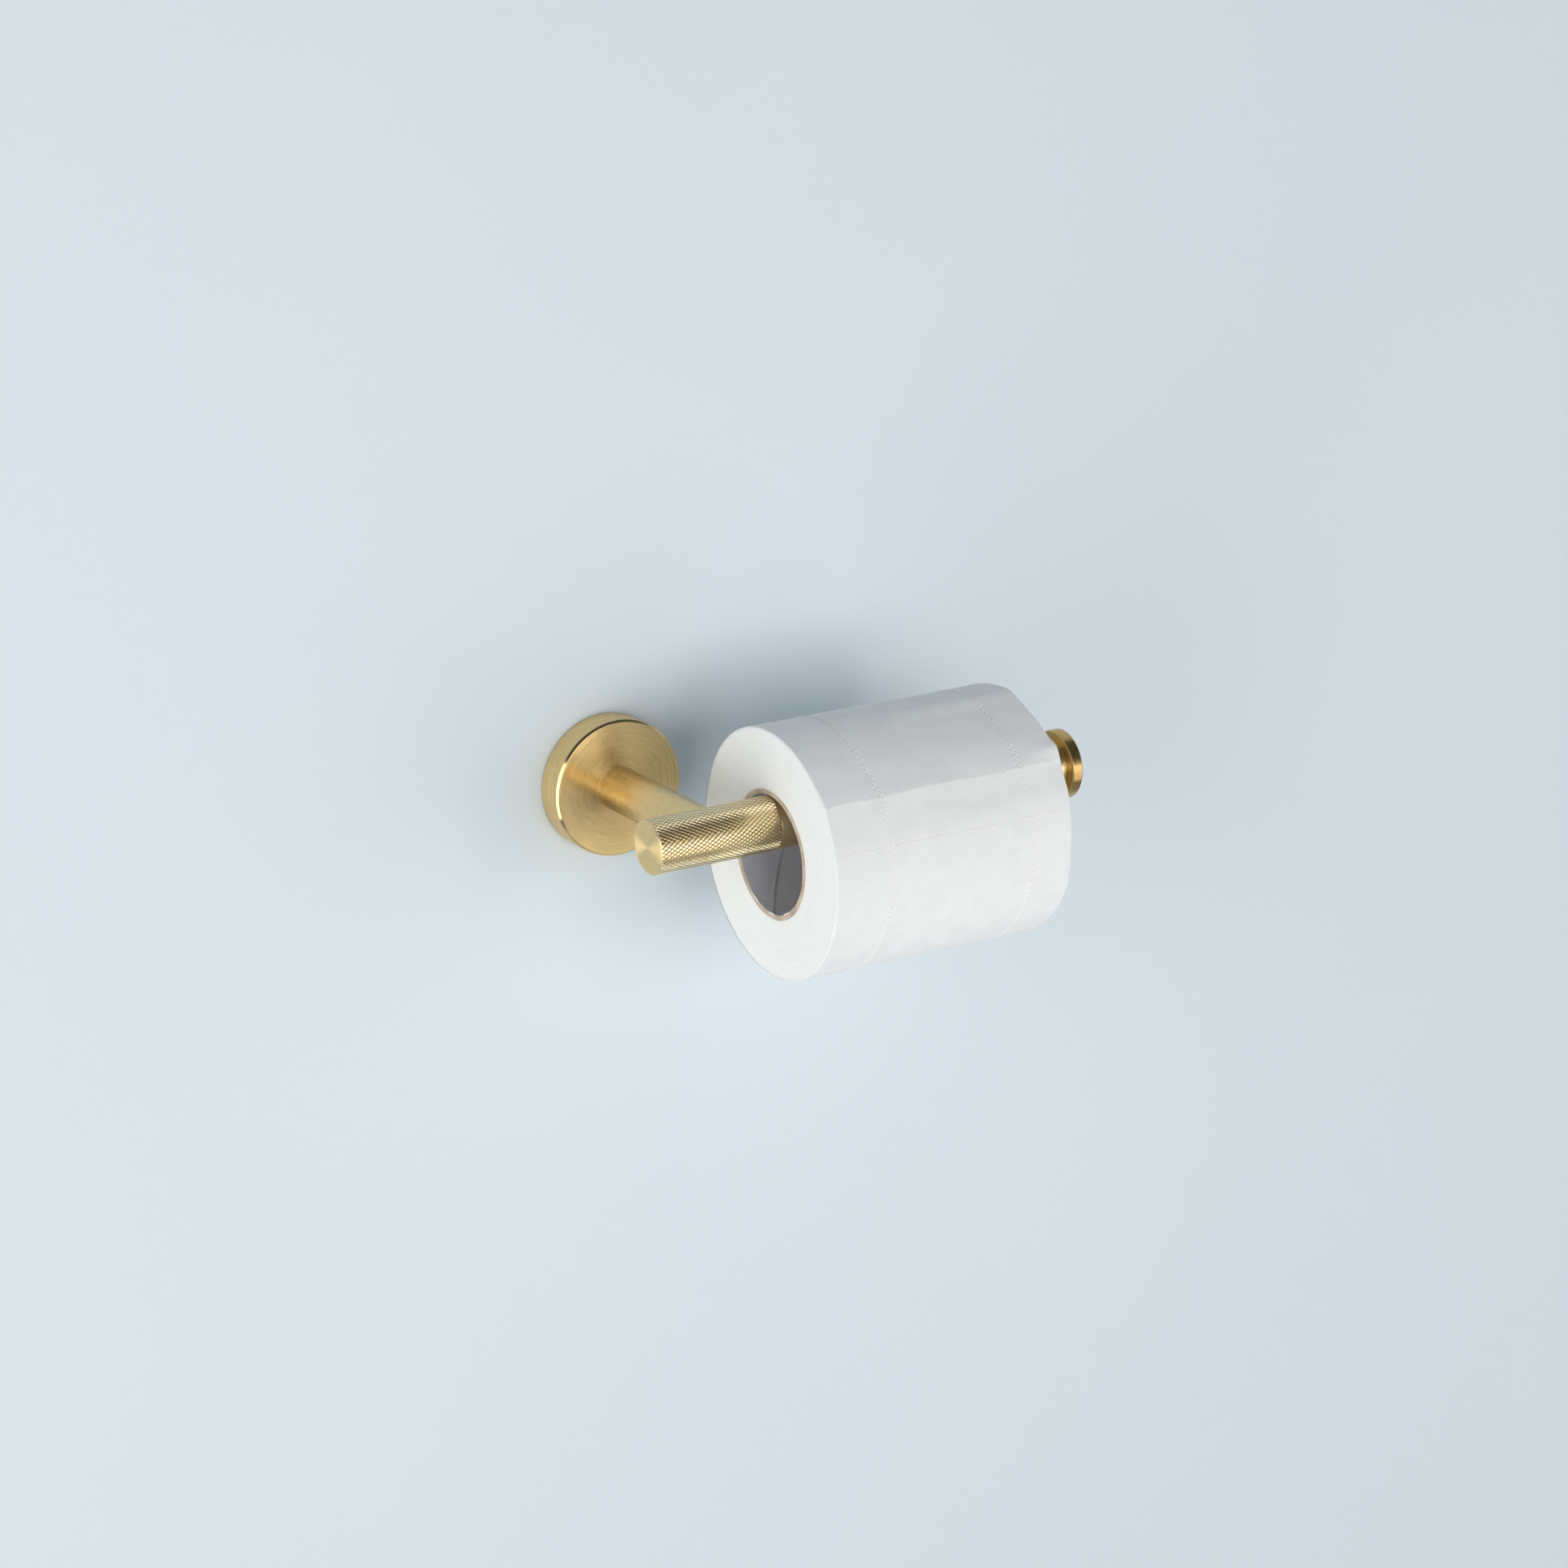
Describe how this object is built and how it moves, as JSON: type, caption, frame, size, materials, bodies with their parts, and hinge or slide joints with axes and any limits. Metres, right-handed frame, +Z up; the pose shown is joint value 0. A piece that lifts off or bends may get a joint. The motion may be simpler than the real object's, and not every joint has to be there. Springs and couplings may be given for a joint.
{
  "type": "toilet paper holder",
  "caption": "Wall-mounted toilet paper holder: round flange and post, knurled cross bar, smooth rail with an end stop, carrying a free-turning paper roll.",
  "frame": {"origin": "centre of the round flange, on the wall's surface", "axes": "+X along the cross bar towards its free end, +Y into the wall, +Z up"},
  "size_m": [0.1713, 0.153, 0.0895],
  "materials": {
    "spun_gold": "spun-brushed gold plate, circular grain",
    "satin_gold": "satin gold plate, fine turned grain",
    "knurled_gold": "diamond-knurled gold plate",
    "polished_gold": "semi-polished gold plate",
    "plated_steel": "zinc-plated steel",
    "zinc_plate": "cast and machined zinc, dull",
    "plug_nylon": "moulded nylon",
    "core_board": "spiral-wound recycled board",
    "tissue": "soft embossed white tissue"
  },
  "bodies": {
    "holder": {"wall_bracket": "zinc_plate", "wall_screw_upper": "plated_steel", "wall_screw_lower": "plated_steel", "wall_plug_upper": "plug_nylon", "wall_plug_lower": "plug_nylon", "flange_cover": "spun_gold", "flange_set_screw": "plated_steel", "post": "satin_gold", "post_root_screw": "plated_steel", "post_root_washer": "plated_steel", "crossbar_stud": "plated_steel", "knurled_grip": "knurled_gold", "joining_rod": "plated_steel", "rail_tube": "satin_gold", "rail_end_plug": "plated_steel", "end_stop_stud": "plated_steel", "end_stop_disc": "polished_gold"},
    "roll": {"roll_core": "core_board", "paper_roll": "tissue", "outer_sheet": "tissue"}
  },
  "joints": [
    {"name": "roll_spin", "type": "hinge", "parent": "holder", "child": "roll", "pos_m": [0.0715, -0.0756, -0.01145], "axis": [1, 0, 0], "continuous": true}
  ]
}
